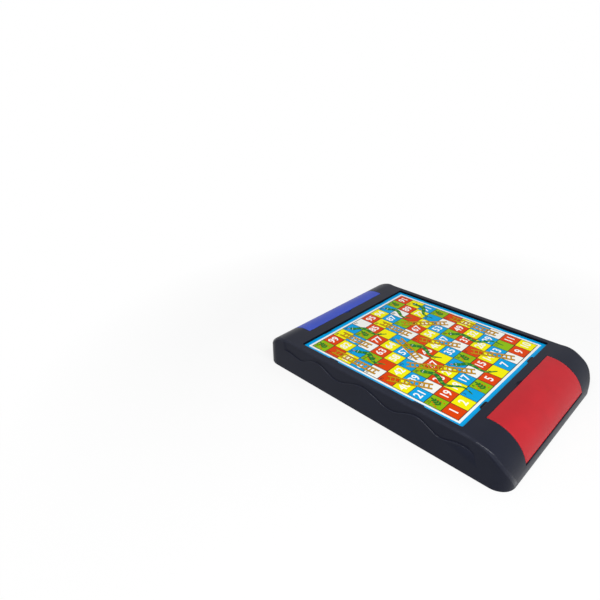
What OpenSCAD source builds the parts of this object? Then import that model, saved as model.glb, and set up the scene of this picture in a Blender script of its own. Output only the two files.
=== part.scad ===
// Games case with a sunk tray for a printed card and a storage bin under a hinged lid at each end.
// The origin is at the middle of the underside. X runs along the case to the red end, and Z points up.

/* [Case] */
// Height of the case
case_h = 44; // [43:0.5:56]
// Width of the rim between the tray and the outside of a long wall
side_rim = 10.1; // [8:0.1:20]
// Width of the rim between the tray and the red lid
red_rim = 9.6; // [6:0.1:20]
// Width of the rim between the tray and the blue lid
blue_rim = 15.1; // [6:0.1:20]
// Thickness of the moulded shell
wall = 2.4; // [2:0.1:3]
// Radius of the upright corners
corner_r = 18; // [12:0.5:24]
// Radius of the roll at the red end
red_roll_r = 41; // [34:0.5:43]
// Radius of the roll at the blue end
blue_roll_r = 34; // [28:0.5:41]

/* [Wavy relief] */
// Depth of the relief in the long walls
relief_depth = 1.3; // [0.6:0.1:1.4]
// Height of the middle of the wave above the table
wave_mid = 31; // [28:0.5:34]
// Rise and fall of the wave about its middle
wave_amp = 5; // [2:0.5:6]
// Length of one wave
wave_pitch = 65; // [40:1:90]
// Distance of one wave crest from the middle of the case
wave_crest_x = 58.5; // [0:0.5:90]
// How far the bends beside the middle crest are pushed apart
wave_spread = 5; // [0:0.5:8]
// How far the wave sinks at its ends
wave_end_drop = 3; // [0:0.5:4]
// Length over which the wave settles at its ends
wave_settle = 40; // [20:1:60]
// Distance from the red end to the start of the relief
relief_red_inset = 36; // [30:1:60]
// Distance from the blue end to the start of the relief
relief_blue_inset = 32; // [30:1:60]
// Length over which the relief runs out at its ends
relief_fade = 8; // [6:1:24]

/* [Card tray] */
// Length of the card
card_l = 214.8; // [180:0.2:260]
// Width of the card
card_w = 206.8; // [172:0.2:260]
// Thickness of the card
card_t = 1; // [0.6:0.1:1.5]
// Gap between the edge of the card and the tray
card_gap = 0.5; // [0.3:0.1:1]
// Depth of the face of the card below the rim
card_drop = 3.1; // [2:0.1:4]
// Thickness of the floor and walls of the tray
tray_wall = 2; // [1.6:0.1:3]
// Radius of the corners of the tray
tray_corner_r = 1.5; // [1:0.1:4]

/* [Card tabs] */
// Width of a tab
tab_w = 13.5; // [8:0.5:20]
// Reach of the tabs that the card slides under, on one long side and at the red end
tab_reach = 3.4; // [2.4:0.1:5]
// Reach of the tabs that the card snaps past, on the other two sides
snap_reach = 1.4; // [0.8:0.1:2]
// Thickness of a tab
tab_t = 0.9; // [0.6:0.1:1.4]
// Space between the card and a tab
tab_gap = 0.3; // [0.1:0.1:0.5]
// Radius of the front corners of a tab
tab_corner_r = 2; // [1:0.1:3]
// Distance of the tabs on the long sides from the middle
tab_long_x = 58; // [30:1:80]
// Distance of the tabs on the short sides from the middle
tab_short_y = 57; // [30:1:80]

/* [Lids and bins] */
// Width of both lids
lid_w = 150.4; // [120:0.2:184]
// Thickness of both lids
lid_t = 2.2; // [1.8:0.1:2.6]
// Distance from the inner edge of the red lid to the end of the case
red_lid_l = 46.5; // [44:0.5:56]
// Distance from the inner edge of the blue lid to the end of the case
blue_lid_l = 41; // [40:0.5:56]
// Gap round the lids
lid_gap = 0.35; // [0.3:0.05:0.6]
// Angle that the lids are drawn open at
lid_angle = 0; // [0:1:100]
// Height of the sill under the lids
sill_h = 11.9; // [8:0.1:14]
// Radius of the round lower edge of the lids
barrel_r = 2.3; // [2:0.1:2.6]
// Depth of the round lower edge behind the face of the lids
barrel_inset = 0.1; // [0.05:0.05:0.3]
// Radius of the hinge pins
pin_r = 1.6; // [1.2:0.1:1.8]
// Gap round the hinge pins
pin_gap = 0.2; // [0.1:0.05:0.3]
// Thickness of the walls of the bins
bin_wall = 2; // [1.6:0.1:3]
// Width of the ledge under the inner edge of the lids
ledge_w = 2; // [1:0.1:3]
// Thickness of that ledge
ledge_t = 2; // [1:0.1:3]
// Width of the finger notches beside the lids
notch_w = 15; // [10:0.5:20]
// Reach of the finger notches into the rim
notch_reach = 3; // [2:0.1:4]
// Depth of the finger notches
notch_depth = 1.6; // [1:0.1:2]

/* [Base and screws] */
// Thickness of the base plate
base_t = 2.4; // [2:0.1:3]
// Gap between the base plate and the shell
base_gap = 0.3; // [0.2:0.05:0.5]
// Height of the screw pads of the base plate
pad_h = 5; // [4.6:0.1:7]
// Diameter of the screw pads
pad_d = 10; // [9:0.5:12]
// Diameter of the screw bosses of the shell
boss_d = 8; // [7:0.5:10]
// Distance of the corner screws from the ends of the case
screw_inset_x = 26; // [22:1:32]
// Diameter of the screw shank
screw_d = 3; // [2.5:0.1:3.5]
// Length of the screw under its head
screw_l = 10; // [8:0.5:14]
// Diameter of the screw head
head_d = 5.6; // [5:0.1:6]
// Height of the screw head
head_h = 2; // [1.6:0.1:2.4]
// Depth of the counterbore that the screw head sits in
counterbore_depth = 2.6; // [2.4:0.1:3]
// Gap round the screw head
head_gap = 0.4; // [0.2:0.1:0.6]
// Gap round the screw shank
shank_gap = 0.1; // [0.05:0.05:0.2]
// Width of the slots of the cross recess
recess_w = 1.1; // [0.8:0.1:1.4]
// Length of those slots
recess_l = 3.8; // [3:0.1:4.6]
// Depth of the cross recess
recess_depth = 1; // [0.6:0.1:1.4]

/* [Counters and dice] */
// Diameter of a counter
token_d = 15; // [12:0.5:16]
// Height of a counter
token_h = 6; // [4:0.5:8]
// Width of the raised rim of a counter
token_rim = 2; // [1.5:0.1:3]
// Depth of the hollows in the faces of a counter
token_hollow = 1.2; // [0.6:0.1:1.6]
// Width of the chamfers of a counter
token_chamfer = 0.5; // [0.2:0.1:0.9]
// Depth of the groove round a counter
token_groove = 0.6; // [0.3:0.1:0.9]
// Width of that groove
token_groove_w = 2; // [1.4:0.1:2.6]
// Gap between the counters of a row
token_space = 3; // [1:0.5:5]
// Gap between the two rows of counters
row_space = 2.5; // [1:0.5:5]
// Gap between the side wall of a bin and the first counters
row_start = 6.5; // [2:0.5:10]
// Length of the sides of a die
die_a = 12; // [10:0.5:14]
// Depth that the rounding takes off the corners of a die
die_corner = 2; // [1.6:0.1:2.4]
// Gap between the last counters and the die
die_space = 10.5; // [4:0.5:30]
// Radius of the pips of a die
pip_r = 1.1; // [0.8:0.1:1.3]
// Distance between neighbouring pips
pip_pitch = 3; // [2.4:0.1:3.2]

/* [Hidden] */
$fn = 96;
over = 1;
wave_steps = 72;
tokens_per_colour = 4;

// Colour, end of the case and row of each set of counters
TOKEN_SETS = [["red", 0, 0], ["yellow", 0, 1], ["green", 1, 0], ["blue", 1, 1]];
TOKENS = [for (set = TOKEN_SETS) for (i = [1:tokens_per_colour]) [str("token_", set[0], "_", i), set, i]];
DICE = [["die_1", 0], ["die_2", 1]];

black = "#2a2a30";
red = "#cd303a";
blue = "#465acd";
yellow = "#f0c81e";
green = "#2f9e4b";
ivory = "#f4f1e8";
steel = "#b9bcc0";
paper = "#f3f3ee";

// The card sets the size of the case: the tray, the rims and the lids add up to its length and width
tray_l = card_l + 2 * card_gap;
tray_w = card_w + 2 * card_gap;
case_l = blue_lid_l + blue_rim + tray_l + red_rim + red_lid_l;
case_w = tray_w + 2 * side_rim;
tray_x = (blue_lid_l + blue_rim - red_rim - red_lid_l) / 2;
tray_z = case_h - card_drop - card_t;
bin_w = lid_w + 2 * lid_gap;
bin_z = base_t + base_gap;
hinge_z = sill_h + lid_gap + barrel_r;
notch_r = (notch_w * notch_w / 4 + notch_reach * notch_reach) / (2 * notch_reach);
shank_hole_r = screw_d / 2 + shank_gap;
relief_x0 = relief_blue_inset - case_l / 2;
relief_x1 = case_l / 2 - relief_red_inset;
token_r = token_d / 2;
token_pitch = token_d + token_space;
row_pitch = token_d + row_space;

// The screws stand midway between the bins and the long walls
screw_x = case_l / 2 - screw_inset_x;
screw_y = (bin_w / 2 + bin_wall + case_w / 2 - wall) / 2;
SCREWS = [for (x = [-screw_x, 0, screw_x]) for (y = [-screw_y, screw_y]) [x, y]];

// Roll radius, lid length, and whether the end is the mirrored one
ENDS = [[red_roll_r, red_lid_l, false], [blue_roll_r, blue_lid_l, true]];

// Inner edge of a lid, and the middle of the bin under it
function lid_edge(lid_l) = case_l / 2 - lid_l;
function bin_mid(lid_l) = case_l / 2 - (lid_l + wall) / 2;

// The hinge line lies just inside the roll, at the height of the round lower edge
function hinge_x(roll_r) =
    case_l / 2 - roll_r
    + sqrt(pow(roll_r - barrel_r - barrel_inset, 2) - pow(max(0, hinge_z - case_h + roll_r), 2));

// Wave with a wider middle crest, that sinks and flattens towards its ends
function wave_height(x) =
    let (
        settled = max(0, 1 - min(x - relief_x0, relief_x1 - x) / wave_settle),
        pushed_x = x - wave_spread * sin(120 * (x - wave_crest_x + wave_pitch) / wave_pitch)
    )
    wave_mid - wave_end_drop * settled
    + wave_amp * (1 - 0.7 * settled) * cos(360 * (pushed_x - wave_crest_x) / wave_pitch);

// What a square corner loses when it is rounded
module corner_cut(r) {
    difference() {
        square(r + over);
        circle(r);
    }
}

module round_rect(l, w, r) {
    difference() {
        square([l, w], center = true);
        for (mx = [0, 1], my = [0, 1])
            mirror([mx, 0])
                mirror([0, my])
                    translate([l / 2 - r, w / 2 - r])
                        corner_cut(r);
    }
}

module along_y(w) {
    rotate([90, 0, 0])
        linear_extrude(w, center = true)
            children();
}

module at_end(mirrored) {
    if (mirrored)
        mirror([1, 0, 0]) children();
    else
        children();
}

module roll_cut(roll_r, inset) {
    translate([case_l / 2 - roll_r, case_h - roll_r])
        corner_cut(roll_r - inset);
}

// Side view of the case, drawn in by an inset and lengthened below by a drop
module side_outline(inset, drop) {
    difference() {
        translate([inset - case_l / 2, -drop])
            square([case_l - 2 * inset, case_h - inset + drop]);
        roll_cut(red_roll_r, inset);
        mirror([1, 0]) roll_cut(blue_roll_r, inset);
    }
}

module case_body(inset = 0, drop = 0) {
    intersection() {
        along_y(case_w) side_outline(inset, drop);
        translate([0, 0, -drop])
            linear_extrude(case_h + drop)
                round_rect(case_l - 2 * inset, case_w - 2 * inset, corner_r - inset);
    }
}

module tray_pan() {
    translate([tray_x, 0, tray_z - tray_wall])
        linear_extrude(case_h)
            round_rect(tray_l + 2 * tray_wall, tray_w + 2 * tray_wall, tray_corner_r + tray_wall);
}

module tray_recess() {
    translate([tray_x, 0, tray_z])
        linear_extrude(case_h)
            round_rect(tray_l, tray_w, tray_corner_r);
}

// Three walls of a bin. The end wall of the case is the fourth
module bin_walls(lid_l) {
    edge = lid_edge(lid_l);
    translate([0, 0, bin_z])
        linear_extrude(case_h)
            difference() {
                translate([edge - bin_wall, -bin_w / 2 - bin_wall])
                    square([lid_l + bin_wall, bin_w + 2 * bin_wall]);
                translate([edge, -bin_w / 2])
                    square([lid_l + over, bin_w]);
            }
}

module lid_opening(lid_l) {
    translate([lid_edge(lid_l), -bin_w / 2, sill_h])
        cube([lid_l + over, bin_w, case_h]);
}

module lid_ledge(lid_l) {
    translate([lid_edge(lid_l) - bin_wall / 2, -(bin_w + bin_wall) / 2, case_h - lid_t - lid_gap - ledge_t])
        cube([bin_wall / 2 + ledge_w, bin_w + bin_wall, ledge_t]);
}

module hinge_bores(roll_r) {
    translate([hinge_x(roll_r), 0, hinge_z])
        rotate([90, 0, 0])
            cylinder(r = pin_r + pin_gap, h = bin_w + 2 * bin_wall + pin_gap, center = true);
}

module finger_notch(lid_l) {
    translate([lid_edge(lid_l) - notch_reach + notch_r, 0, case_h - notch_depth])
        cylinder(r = notch_r, h = notch_depth + over);
}

// Cut that sets back one long wall above the wave and runs out at both ends
module wall_relief() {
    y0 = -case_w / 2;
    intersection() {
        along_y(case_w + 2 * over)
            polygon(concat(
                [for (i = [0:wave_steps])
                    let (x = relief_x0 + (relief_x1 - relief_x0) * i / wave_steps)
                    [x, wave_height(x)]],
                [[relief_x1, case_h + over], [relief_x0, case_h + over]]
            ));
        linear_extrude(case_h + over)
            polygon([
                [relief_x0, y0 - over],
                [relief_x0, y0],
                [relief_x0 + relief_fade, y0 + relief_depth],
                [relief_x1 - relief_fade, y0 + relief_depth],
                [relief_x1, y0],
                [relief_x1, y0 - over]
            ]);
    }
}

// A tab that points along +Y from the edge of the tray
module card_tab(reach) {
    r = min(tab_corner_r, reach);
    translate([0, 0, tray_z + card_t + tab_gap])
        linear_extrude(tab_t)
            difference() {
                translate([-tab_w / 2, -over])
                    square([tab_w, over + reach]);
                for (mx = [0, 1])
                    mirror([mx, 0])
                        translate([tab_w / 2 - r, reach - r])
                            corner_cut(r);
            }
}

module card_tabs() {
    translate([tray_x, 0, 0]) {
        for (side = [[0, tab_reach], [180, snap_reach]], x = [-tab_long_x, tab_long_x])
            rotate([0, 0, side[0]])
                translate([x, -tray_w / 2, 0])
                    card_tab(side[1]);
        for (side = [[90, tab_reach], [270, snap_reach]], y = [-tab_short_y, tab_short_y])
            rotate([0, 0, side[0]])
                translate([y, -tray_l / 2, 0])
                    card_tab(side[1]);
    }
}

module screw_bosses() {
    for (p = SCREWS)
        translate([p[0], p[1], pad_h])
            cylinder(d = boss_d, h = case_h);
}

module boss_holes() {
    for (p = SCREWS)
        translate([p[0], p[1], pad_h - over])
            cylinder(r = shank_hole_r, h = screw_l + counterbore_depth - pad_h + 2 * over);
}

module top_shell() {
    color(black) {
        difference() {
            union() {
                difference() {
                    case_body();
                    case_body(wall, over);
                }
                intersection() {
                    case_body();
                    union() {
                        tray_pan();
                        screw_bosses();
                        for (end = ENDS)
                            at_end(end[2]) bin_walls(end[1]);
                    }
                }
            }
            tray_recess();
            boss_holes();
            wall_relief();
            mirror([0, 1, 0]) wall_relief();
            for (end = ENDS)
                at_end(end[2]) {
                    lid_opening(end[1]);
                    hinge_bores(end[0]);
                    finger_notch(end[1]);
                }
        }
        card_tabs();
        for (end = ENDS)
            at_end(end[2]) lid_ledge(end[1]);
    }
}

module base_plate() {
    color(black)
        difference() {
            union() {
                intersection() {
                    case_body(wall + base_gap);
                    translate([-case_l / 2, -case_w / 2, 0])
                        cube([case_l, case_w, base_t]);
                }
                for (p = SCREWS)
                    translate([p[0], p[1], 0])
                        cylinder(d = pad_d, h = pad_h);
            }
            for (p = SCREWS)
                translate([p[0], p[1], -over]) {
                    cylinder(d = head_d + 2 * head_gap, h = counterbore_depth + over);
                    cylinder(r = shank_hole_r, h = pad_h + 2 * over);
                }
        }
}

module game_card() {
    color(paper)
        translate([tray_x, 0, tray_z])
            linear_extrude(card_t)
                square([card_l, card_w], center = true);
}

module lid_outline(roll_r, lid_l) {
    edge = lid_edge(lid_l);
    difference() {
        translate([edge + lid_gap, hinge_z])
            square([lid_l - lid_gap, case_h - hinge_z]);
        roll_cut(roll_r, 0);
        difference() {
            translate([edge, 0])
                square([lid_l - lid_t, case_h - lid_t]);
            roll_cut(roll_r, lid_t);
        }
    }
}

// Curved cover with a round lower edge and a pin at each lower corner
module lid(roll_r, lid_l) {
    hinge = [hinge_x(roll_r), 0, hinge_z];
    translate(hinge)
        rotate([0, lid_angle, 0]) {
            translate(-hinge)
                along_y(lid_w) lid_outline(roll_r, lid_l);
            along_y(lid_w) circle(barrel_r);
            along_y(bin_w + 2 * bin_wall) circle(pin_r);
        }
}

module red_lid() {
    color(red) lid(red_roll_r, red_lid_l);
}

module blue_lid() {
    color(blue)
        mirror([1, 0, 0])
            lid(blue_roll_r, blue_lid_l);
}

// Pan-head screw, head down, with a cross recess
module screw() {
    difference() {
        union() {
            translate([0, 0, -head_h]) cylinder(d = head_d, h = head_h);
            cylinder(d = screw_d, h = screw_l);
        }
        for (turn = [0, 90])
            rotate([0, 0, turn])
                translate([-recess_l / 2, -recess_w / 2, -head_h - over])
                    cube([recess_l, recess_w, over + recess_depth]);
    }
}

module case_screws() {
    color(steel)
        for (p = SCREWS)
            translate([p[0], p[1], counterbore_depth])
                screw();
}

// Round counter with a raised rim and a groove round its middle
module token() {
    hollow_r = token_r - token_rim;
    groove_z0 = (token_h - token_groove_w) / 2;
    groove_z1 = (token_h + token_groove_w) / 2;
    rotate_extrude()
        polygon([
            [0, token_hollow],
            [hollow_r - token_hollow, token_hollow],
            [hollow_r, 0],
            [token_r - token_chamfer, 0],
            [token_r, token_chamfer],
            [token_r, groove_z0],
            [token_r - token_groove, groove_z0 + token_groove],
            [token_r - token_groove, groove_z1 - token_groove],
            [token_r, groove_z1],
            [token_r, token_h - token_chamfer],
            [token_r - token_chamfer, token_h],
            [hollow_r, token_h],
            [hollow_r - token_hollow, token_h - token_hollow],
            [0, token_h - token_hollow]
        ]);
}

// The place of a counter is counted from the side wall of its bin
module placed_token(set, i) {
    end = ENDS[set[1]];
    x = bin_mid(end[1]) + (set[2] - 0.5) * row_pitch;
    y = row_start + token_r - bin_w / 2 + (i - 1) * token_pitch;
    at_end(end[2])
        translate([x, y, base_t])
            token();
}

// Face of a die: pips of the given number on a three by three grid
module pips(number) {
    places = [[0, 0], [1, 1], [-1, -1], [1, -1], [-1, 1], [1, 0], [-1, 0]];
    first = number % 2 == 1 ? 0 : 1;
    for (i = [first:first + number - 1])
        translate([places[i][0] * pip_pitch, places[i][1] * pip_pitch, die_a / 2 + pip_r / 2])
            sphere(pip_r);
}

module die() {
    difference() {
        intersection() {
            cube(die_a, center = true);
            sphere(die_a * sqrt(3) / 2 - die_corner);
        }
        pips(1);
        rotate([180, 0, 0]) pips(6);
        rotate([90, 0, 0]) pips(2);
        rotate([-90, 0, 0]) pips(5);
        rotate([0, 90, 0]) pips(3);
        rotate([0, -90, 0]) pips(4);
    }
}

module placed_die(end) {
    row_end = row_start - bin_w / 2 + tokens_per_colour * token_pitch - token_space;
    y = row_end + die_space + die_a / 2;
    color(ivory)
        at_end(end[2])
            translate([bin_mid(end[1]), y, base_t + die_a / 2])
                die();
}

module coloured_token(set, i) {
    tint = set[0] == "red" ? red : set[0] == "yellow" ? yellow : set[0] == "green" ? green : blue;
    color(tint) placed_token(set, i);
}

top_shell();
base_plate();
game_card();
red_lid();
blue_lid();
case_screws();
for (token = TOKENS)
    coloured_token(token[1], token[2]);
for (die = DICE)
    placed_die(ENDS[die[1]]);
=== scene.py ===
"""Looks of a flat games case: moulded shell and lids, printed card, counters, dice and screws."""

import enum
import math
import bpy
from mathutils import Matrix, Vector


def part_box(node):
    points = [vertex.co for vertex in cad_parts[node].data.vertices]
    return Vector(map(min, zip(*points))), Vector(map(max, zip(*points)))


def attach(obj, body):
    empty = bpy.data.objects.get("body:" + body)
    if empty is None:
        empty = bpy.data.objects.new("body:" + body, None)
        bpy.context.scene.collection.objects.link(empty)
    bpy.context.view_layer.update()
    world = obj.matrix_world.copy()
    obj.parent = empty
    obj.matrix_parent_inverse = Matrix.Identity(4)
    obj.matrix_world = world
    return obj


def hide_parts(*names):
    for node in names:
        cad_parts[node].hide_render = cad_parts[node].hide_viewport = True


bl_info = {
    "name": "Games Case",
    "version": (1, 0, 0),
    "blender": (4, 5, 0),
    "location": "3D View > Sidebar > Games Case",
    "description": "Finishes the pieces of a games case and sets it on a stage",
    "category": "Object",
}

import bmesh
import bpy
from bpy.props import FloatProperty, FloatVectorProperty, PointerProperty
from mathutils import Euler, Matrix, Vector

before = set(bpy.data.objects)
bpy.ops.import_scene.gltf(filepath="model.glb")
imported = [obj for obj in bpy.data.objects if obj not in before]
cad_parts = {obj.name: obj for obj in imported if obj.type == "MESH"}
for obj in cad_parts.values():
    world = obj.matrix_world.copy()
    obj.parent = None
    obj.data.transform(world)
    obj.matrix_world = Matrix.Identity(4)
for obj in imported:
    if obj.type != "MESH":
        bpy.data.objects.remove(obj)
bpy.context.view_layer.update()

MM = 0.001

# Points closer than this are one point, and faces flatter than this are one face
MERGE = 0.002 * MM
FLAT = math.radians(0.3)
# A point closer to a surface than this lies on it
NEAR = 0.06 * MM
# Edges sharper than this are rounded
SHARP = math.radians(25)
# Edges of a rounded piece that are still sharper than this shade as edges
HARD = math.radians(40)
# The crease round the top runs out where it is flatter than this
CREASED = math.radians(10)
# Past this length, width and height the crease grows wider, over this much of the length
NOSE_START = Vector((133, 97, 4)) * MM
NOSE_GROWTH = 15 * MM
# Distance between the cuts that make those corners fine enough, and a cut's hold on points beside it
CUT_STEP = 1.5 * MM
CUT_HOLD = 0.15 * MM

# The track runs to and fro across the card from the near corner of the red end
SQUARES = 10
# Colours of the squares along a row, and the steps that the next row is shifted by
SQUARE_ORDER = ("red", "yellow", "blue", "lime", "red", "yellow", "blue", "white")
ROW_SHIFT = 3
# Foot and top of each ladder, and head and tail of each snake
LADDERS = (
    (8, 27), (16, 43), (22, 41), (30, 51), (34, 55), (44, 65), (60, 81), (52, 74), (66, 86), (78, 98)
)
SNAKES = ((25, 6), (38, 3), (48, 12), (56, 36), (79, 59), (90, 69), (97, 76), (93, 73))

COUNTER_COLOURS = ("red", "yellow", "green", "blue")
COUNTERS_PER_COLOUR = 4
DICE = ("die_1", "die_2")
# A face less deep than this lies on a side of a die, and one deeper than this in its ball lies in a pip
DIE_SIDE = 0.01 * MM
DIE_PIP = 0.15 * MM

# Places and sizes of the two lamps, and the aim and the spread of the sun
STRIP_AT = (0.34, -0.44, 0.8)
STRIP_SIZE = (1.2, 0.1)
SIDE_AT = (1.0, 0.1, 0.6)
SIDE_SIZE = (0.8, 0.8)
SUN_AIM = (-0.45, 0.1, -1)
SUN_SPREAD = math.radians(50)
# Half the width of the floor, and its distance below the case
FLOOR_REACH = 30
FLOOR_DROP = 0.1 * MM


class Layer(enum.IntEnum):
    """Layers of ink from the card up: each figure lies over the ones before it."""

    NUMBER = 1
    STEM = 2
    LEAVES = 3
    RUNG_LINE = 10
    RAIL_LINE = 11
    RUNG = 12
    RAIL = 13
    TONGUE = 14
    BODY_LINE = 15
    BODY = 16
    HEAD_LINE = 17
    HEAD = 18
    EYE_LINE = 19
    EYE = 20
    PUPIL = 21


def srgb(red, green, blue):
    """Linear colour of one that is written in steps of 0 to 255."""
    shares = (red / 255, green / 255, blue / 255)
    return tuple(s / 12.92 if s <= 0.04045 else ((s + 0.055) / 1.055) ** 2.4 for s in shares)


def tint(name, description, default):
    """A colour that a user can pick."""
    return FloatVectorProperty(
        name=name, description=description, subtype="COLOR", size=3, min=0, max=1, default=default
    )


def span(name, description, millimetres):
    """A length that a user can set."""
    return FloatProperty(
        name=name, description=description, unit="LENGTH", subtype="DISTANCE", min=0, precision=5,
        default=millimetres * MM,
    )


def share(name, description, default):
    """A number from 0 to 1 that a user can set."""
    return FloatProperty(
        name=name, description=description, subtype="FACTOR", min=0, max=1, default=default
    )


def power(name, description, default):
    """The power of a lamp that a user can set."""
    return FloatProperty(name=name, description=description, unit="POWER", min=0, default=default)


class CaseFinish(bpy.types.PropertyGroup):
    """Colours and edges of the case and of what it holds."""

    shell: tint("Shell", "Colour of the shell and the base plate", srgb(26, 29, 42))
    red_lid: tint("Red lid", "Colour of the lid at the red end", srgb(180, 33, 42))
    blue_lid: tint("Blue lid", "Colour of the lid at the blue end", srgb(56, 78, 186))
    steel: tint("Screws", "Colour of the plated screws", srgb(196, 198, 202))
    ivory: tint("Dice", "Colour of the dice", srgb(240, 235, 218))
    pips: tint("Pips", "Colour of the paint in the pips", srgb(18, 18, 20))
    red: tint("Red counters", "Colour of the red counters", srgb(204, 30, 40))
    yellow: tint("Yellow counters", "Colour of the yellow counters", srgb(240, 196, 20))
    green: tint("Green counters", "Colour of the green counters", srgb(36, 150, 62))
    blue: tint("Blue counters", "Colour of the blue counters", srgb(34, 84, 196))
    corner_r: span("Corner", "Radius of the corners of the shell from above", 18)
    red_roll_r: span("Red roll", "Radius of the roll at the red end", 41)
    blue_roll_r: span("Blue roll", "Radius of the roll at the blue end", 34)
    relief: span("Relief", "Depth of the relief in the long walls", 1.3)
    crease_r: span("Crease", "Radius of the edge round the top of the shell", 2.6)
    nose_r: span("Nose", "Radius that the crease widens to round the corners", 5)
    relief_r: span("Relief edge", "Radius of the edge of the relief", 0.9)
    edge_r: span("Edges", "Radius of the small edges of the mouldings", 0.4)
    counter_edge_r: span("Counter edges", "Radius of the edges of the counters", 0.15)


class CardPrint(bpy.types.PropertyGroup):
    """Sizes and inks of the printed card."""

    square_l: span("Square length", "Length of a square along the case", 19.8)
    square_w: span("Square width", "Width of a square across the case", 19)
    line: span("Line", "Width of the line round each square", 0.9)
    band: span("Band", "Width of the white band round the squares", 3.3)
    number_h: span("Number", "Height of the large numbers", 10)
    number_swell: span("Number swell", "Extra width on each side of the large strokes", 0.3)
    small_h: span("Small number", "Height of the small numbers", 4)
    small_swell: span("Small swell", "Extra width on each side of the small strokes", 0.03)
    outline: span("Outline", "Width of the dark line round ladders and snakes", 0.6)
    layer: span("Layer", "Thickness of one layer of ink", 0.01)
    ladder_w: span("Ladder", "Distance between the rails of a ladder", 7.8)
    rail_w: span("Rail", "Width of a ladder's rail", 2.2)
    rung_w: span("Rung", "Width of a ladder's rung", 1.3)
    rung_pitch: span("Rung pitch", "Distance between the rungs of a ladder", 5.2)
    snake_sway: span("Sway", "Reach of a snake's bends to each side", 5.5)
    snake_bend: span("Bend", "Length of each bend of a snake", 19)
    snake_w: span("Snake", "Width of a snake at its widest", 5.2)
    red: tint("Red", "Ink of the red squares", srgb(221, 66, 0))
    yellow: tint("Yellow", "Ink of the yellow squares", srgb(246, 239, 0))
    blue: tint("Blue", "Ink of the blue squares", srgb(0, 161, 225))
    lime: tint("Lime", "Ink of the lime squares", srgb(141, 188, 0))
    white: tint("White", "Bare card", srgb(246, 246, 242))
    border: tint("Border", "Ink of the border", srgb(0, 164, 232))
    dark: tint("Dark", "Ink of the lines and the small numbers", srgb(26, 28, 30))
    gold: tint("Gold", "Ink of the ladders", srgb(196, 145, 6))
    gold_dark: tint("Dark gold", "Ink of the lines round the ladders", srgb(96, 66, 0))
    green: tint("Green", "Ink of the snakes", srgb(34, 140, 52))
    green_light: tint("Light green", "Ink of the bands of the snakes", srgb(124, 190, 44))
    leaf: tint("Leaf", "Ink of the sprigs", srgb(40, 112, 36))
    green_dark: tint("Dark green", "Ink of the lines round the snakes", srgb(12, 70, 34))


class StageSettings(bpy.types.PropertyGroup):
    """Camera and light."""

    camera_at: FloatVectorProperty(
        name="Camera", description="Place of the camera", subtype="TRANSLATION", unit="LENGTH",
        default=(0.25888, -0.46516, 0.36583),
    )
    camera_turn: FloatVectorProperty(
        name="Turn", description="Direction of the camera", subtype="EULER", unit="ROTATION",
        default=(math.radians(63.0898), math.radians(0.9575), math.radians(45.1779)),
    )
    lens: FloatProperty(
        name="Lens", description="Focal length of the camera", subtype="DISTANCE_CAMERA", default=29.36
    )
    sky: share("Sky", "Strength of the even light from all round", 0.34)
    sun_strength: share("Sun", "Strength of the wide light", 0.15)
    strip_power: power("Strip", "Power of the long narrow main lamp", 7)
    side_power: power("Side", "Power of the lamp beside the red end", 2.5)
    floor_glow: share("Floor glow", "Share of plain white that the floor shows by the case", 0.8)


def math_method(operation, reflected=False):
    """A method that adds a Math node, with its values the other way round where it is reflected."""
    def method(self, *others):
        values = (*others, self) if reflected else (self, *others)
        return self.sheet.math(operation, *values)
    return method


class Value:
    """A socket that takes part in Python arithmetic."""

    def __init__(self, sheet, socket):
        self.sheet = sheet
        self.socket = socket

    __add__ = __radd__ = math_method("ADD")
    __mul__ = __rmul__ = math_method("MULTIPLY")
    __sub__ = math_method("SUBTRACT")
    __rsub__ = math_method("SUBTRACT", reflected=True)
    __truediv__ = math_method("DIVIDE")
    __rtruediv__ = math_method("DIVIDE", reflected=True)
    __mod__ = math_method("FLOORED_MODULO")
    __rmod__ = math_method("FLOORED_MODULO", reflected=True)
    __lt__ = math_method("LESS_THAN")
    __gt__ = math_method("GREATER_THAN")
    __abs__ = math_method("ABSOLUTE")
    __floor__ = math_method("FLOOR")


class Sheet:
    """A node tree that is written as Python expressions."""

    def __init__(self, tree):
        self.tree = tree

    def node(self, kind, settings=None, inputs=None, output=0):
        """Adds a node: its settings first, then the values or links of its sockets."""
        node = self.tree.nodes.new(kind)
        for name, value in (settings or {}).items():
            if name == "stops":
                self.set_stops(node.color_ramp, value)
            else:
                setattr(node, name, value)
        for name, value in (inputs or {}).items():
            self.feed(node.inputs[name], value)
        return Value(self, node.outputs[output])

    def set_stops(self, ramp, stops):
        """Gives a ramp its stops, each with its colour from its place to the next stop."""
        ramp.interpolation = "CONSTANT"
        while len(ramp.elements) < len(stops):
            ramp.elements.new(1)
        for element, (place, colour) in zip(ramp.elements, stops):
            element.position = place
            element.color = (*colour, 1)

    def feed(self, socket, value):
        if isinstance(value, Value):
            self.tree.links.new(value.socket, socket)
        elif socket.type == "RGBA":
            socket.default_value = (*value[:3], 1)
        else:
            socket.default_value = value

    def math(self, operation, *values):
        return self.node("ShaderNodeMath", {"operation": operation}, dict(enumerate(values)))

    def larger(self, first, second):
        return self.math("MAXIMUM", first, second)

    def smaller(self, first, second):
        return self.math("MINIMUM", first, second)

    def mix(self, factor, first, second):
        """A colour between two."""
        first_socket, second_socket, result = 6, 7, 2
        return self.node(
            "ShaderNodeMix", {"data_type": "RGBA"},
            {0: factor, first_socket: first, second_socket: second}, result,
        )


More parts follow.
